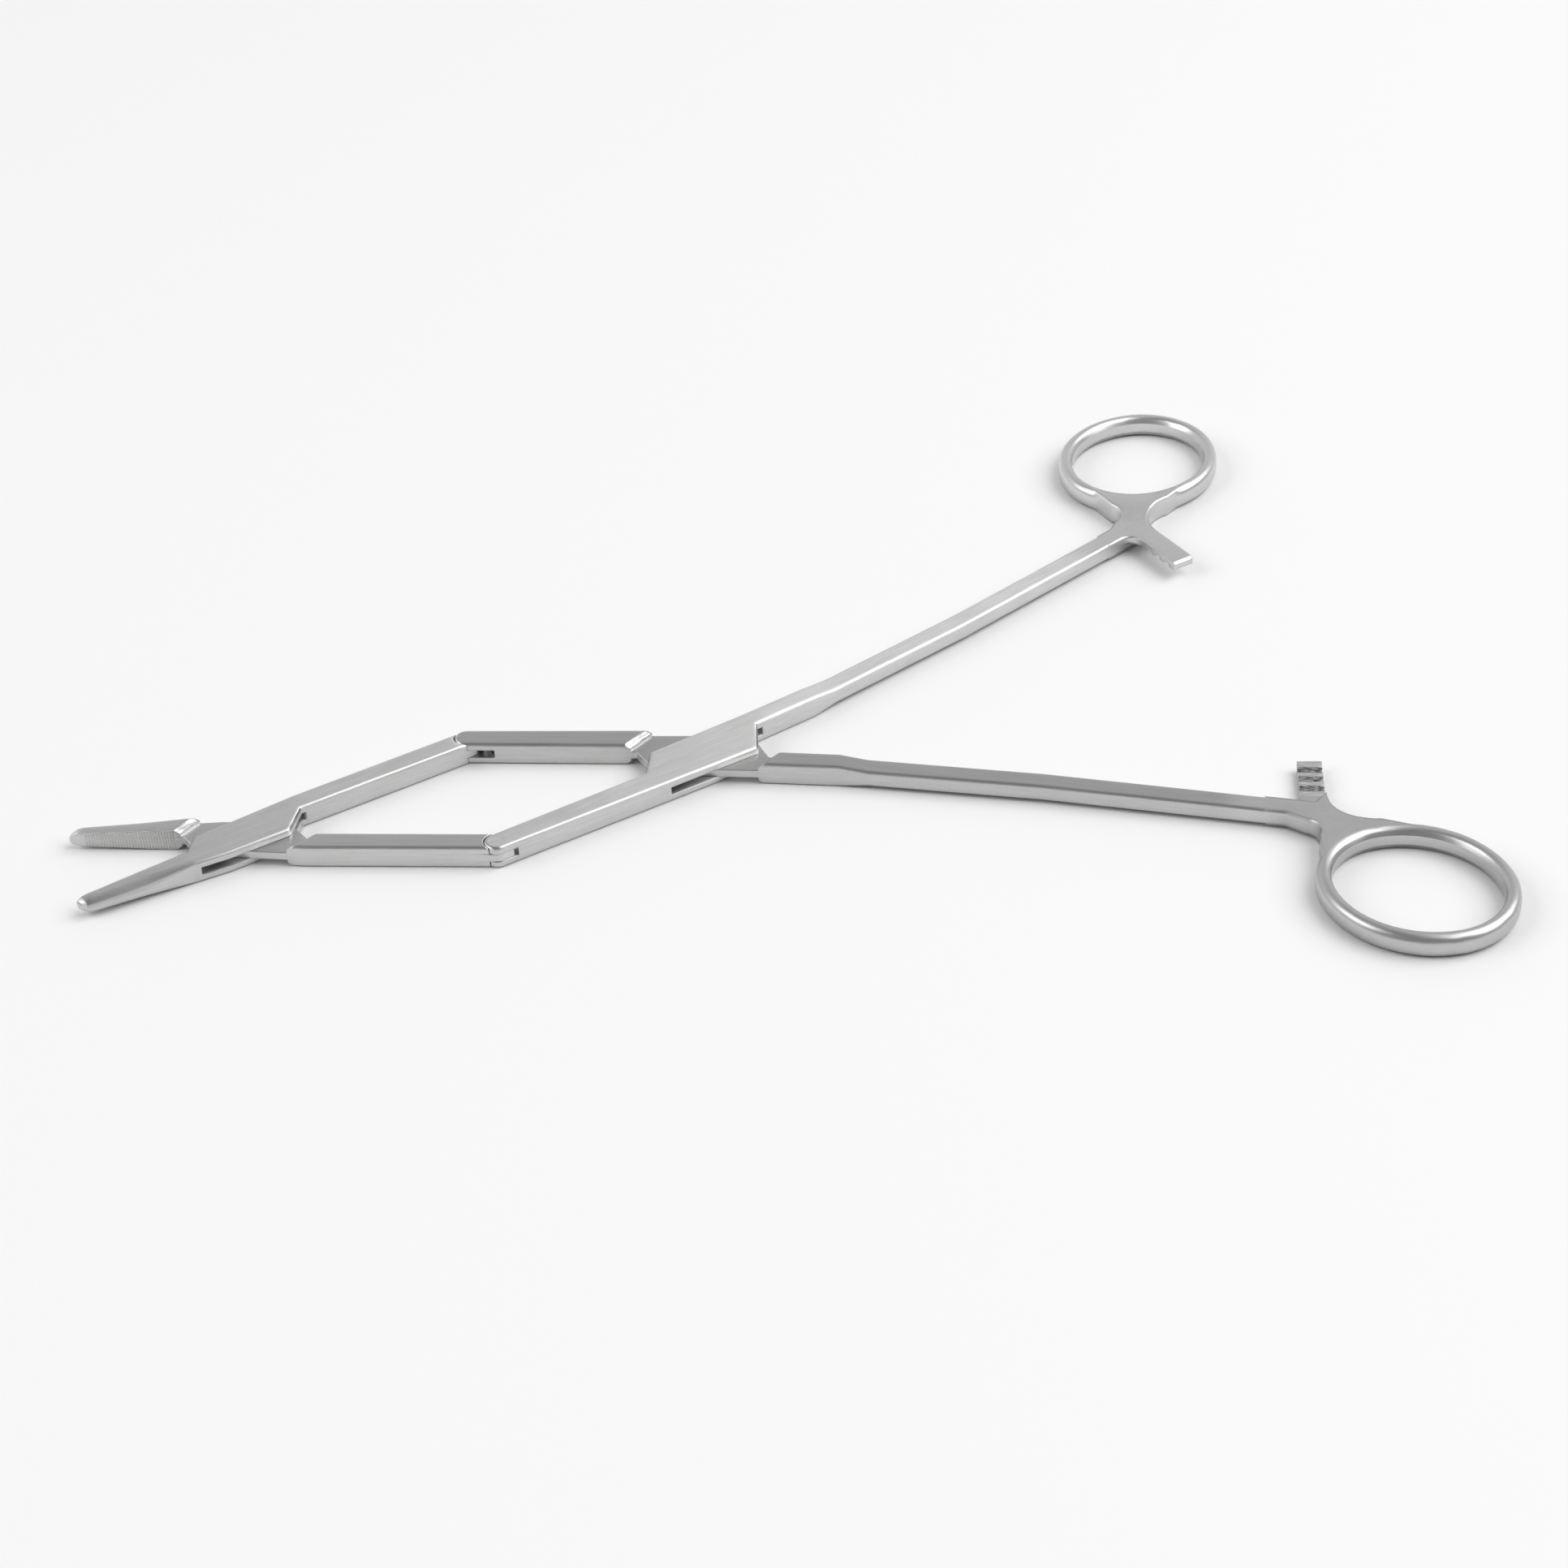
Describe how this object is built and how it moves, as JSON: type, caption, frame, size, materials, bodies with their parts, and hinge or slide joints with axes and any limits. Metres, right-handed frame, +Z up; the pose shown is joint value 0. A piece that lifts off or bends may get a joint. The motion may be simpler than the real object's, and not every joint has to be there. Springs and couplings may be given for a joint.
{
  "type": "needle holder",
  "caption": "Double-action surgical needle holder with box-lock jaws and handles, knuckle links, serrated jaws, finger rings and a ratchet catch.",
  "frame": {"origin": "on the table under the handles' box-lock pin", "axes": "+X from the jaws to the finger rings along the instrument's centre line, +Y away from the camera across the levers, +Z up from the table"},
  "size_m": [0.2082, 0.157, 0.0039],
  "materials": {
    "handle_female": "satin brushed along the lever, polished at the shoulders and edges",
    "handle_male": "satin brushed along the lever, polished at the shoulders and edges",
    "jaw_female": "satin brushed along the lever, cross-cut bite face",
    "jaw_male": "satin brushed along the lever, cross-cut bite face",
    "handle_box_pin": "ground flush and satin brushed with the lever",
    "jaw_box_pin": "ground flush and satin brushed with the lever",
    "upper_link_pin": "ground flush and satin brushed with the fork",
    "lower_link_pin": "ground flush and satin brushed with the fork"
  },
  "bodies": {
    "handle_female": {"handle_female": "handle_female", "handle_box_pin": "handle_box_pin", "lower_link_pin": "lower_link_pin"},
    "handle_male": {"handle_male": "handle_male", "upper_link_pin": "upper_link_pin"},
    "jaw_male": {"jaw_male": "jaw_male"},
    "jaw_female": {"jaw_female": "jaw_female", "jaw_box_pin": "jaw_box_pin"}
  },
  "joints": [
    {"name": "handle_box", "type": "hinge", "parent": "handle_female", "child": "handle_male", "pos_m": [0, 0, 0.00195], "axis": [0, 0, 1], "range_deg": [-1, 35]},
    {"name": "lower_knuckle", "type": "hinge", "parent": "handle_female", "child": "jaw_male", "pos_m": [-0.03755, -0.0142, 0.00195], "axis": [0, 0, 1], "range_deg": [-1, 35]},
    {"name": "jaw_box", "type": "hinge", "parent": "jaw_male", "child": "jaw_female", "pos_m": [-0.07509, 0, 0.00195], "axis": [0, 0, 1], "range_deg": [-35, 1]}
  ],
  "couplings": [
    {"joint": "lower_knuckle", "follows": "handle_box", "ratio": 1},
    {"joint": "jaw_box", "follows": "handle_box", "ratio": -1}
  ]
}
